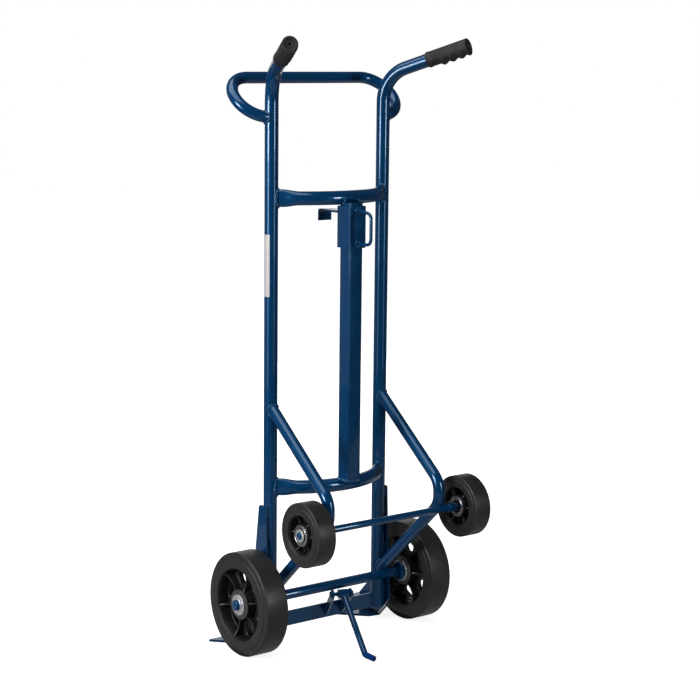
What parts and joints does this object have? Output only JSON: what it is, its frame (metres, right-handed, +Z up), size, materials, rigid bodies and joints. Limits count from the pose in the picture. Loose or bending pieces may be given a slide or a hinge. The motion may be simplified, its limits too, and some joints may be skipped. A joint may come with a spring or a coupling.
{
  "type": "four-wheel drum hand truck",
  "caption": "Blue welded-tube drum hand truck with swept handles, top loop, sliding rim hook, split toes, large and small rubber wheels and a fold-up stand.",
  "frame": {"origin": "middle of the footprint of the bounding box, on the floor", "axes": "+X across the truck to the user's right, +Y from the user towards the load, +Z up"},
  "size_m": [0.581, 0.4464, 1.4873],
  "materials": {
    "blue_paint": "gloss",
    "wheel_rubber": "satin",
    "grip_rubber": "matte",
    "core_plastic": "satin",
    "zinc": "satin",
    "label": "satin"
  },
  "bodies": {
    "frame": {"base_bar": "blue_paint", "brace_left": "blue_paint", "brace_right": "blue_paint", "grip_left": "grip_rubber", "grip_right": "grip_rubber", "label": "label", "lower_crossbar": "blue_paint", "main_axle": "blue_paint", "main_collar_left": "blue_paint", "main_collar_right": "blue_paint", "main_washer_inner_left": "zinc", "main_washer_inner_right": "zinc", "main_washer_outer_left": "zinc", "main_washer_outer_right": "zinc", "mast": "blue_paint", "rear_axle": "blue_paint", "rear_spacer_left": "blue_paint", "rear_spacer_right": "blue_paint", "rear_washer_left": "zinc", "rear_washer_right": "zinc", "side_plate_left": "blue_paint", "side_plate_right": "blue_paint", "stand_ear_left": "blue_paint", "stand_ear_right": "blue_paint", "stand_pin": "zinc", "toe_ledge_left": "blue_paint", "toe_ledge_right": "blue_paint", "toe_left": "blue_paint", "toe_right": "blue_paint", "top_loop": "blue_paint", "upper_crossbar": "blue_paint", "upright_left": "blue_paint", "upright_right": "blue_paint"},
    "main_wheel_left": {"main_tyre_left": "wheel_rubber", "main_core_left": "core_plastic", "main_bearing_outer_left": "zinc", "main_bearing_inner_left": "zinc"},
    "main_wheel_right": {"main_tyre_right": "wheel_rubber", "main_core_right": "core_plastic", "main_bearing_outer_right": "zinc", "main_bearing_inner_right": "zinc"},
    "rear_wheel_left": {"rear_tyre_left": "wheel_rubber", "rear_core_left": "core_plastic", "rear_bearing_outer_left": "zinc", "rear_bearing_inner_left": "zinc"},
    "rear_wheel_right": {"rear_tyre_right": "wheel_rubber", "rear_core_right": "core_plastic", "rear_bearing_outer_right": "zinc", "rear_bearing_inner_right": "zinc"},
    "carriage": {"carriage_sleeve": "blue_paint", "chime_hook": "blue_paint", "carriage_pull": "blue_paint"},
    "stand": {"stand_leg": "blue_paint"}
  },
  "joints": [
    {"name": "main_wheel_left_spin", "type": "hinge", "parent": "frame", "child": "main_wheel_left", "pos_m": [0, 0.07649, 0.127], "axis": [1, 0, 0], "continuous": true},
    {"name": "rear_wheel_left_spin", "type": "hinge", "parent": "frame", "child": "rear_wheel_left", "pos_m": [0, -0.14701, 0.3462], "axis": [1, 0, 0], "continuous": true},
    {"name": "main_wheel_right_spin", "type": "hinge", "parent": "frame", "child": "main_wheel_right", "pos_m": [0, 0.07649, 0.127], "axis": [1, 0, 0], "continuous": true},
    {"name": "rear_wheel_right_spin", "type": "hinge", "parent": "frame", "child": "rear_wheel_right", "pos_m": [0, -0.14701, 0.3462], "axis": [1, 0, 0], "continuous": true},
    {"name": "hook_slide", "type": "slide", "parent": "frame", "child": "carriage", "axis": [0, 0, 1], "range_m": [-0.56, 0]},
    {"name": "stand_fold", "type": "hinge", "parent": "frame", "child": "stand", "pos_m": [0.016, 0.04949, 0.108], "axis": [-0.9397, 0.342, 0], "range_deg": [0, 100]}
  ]
}
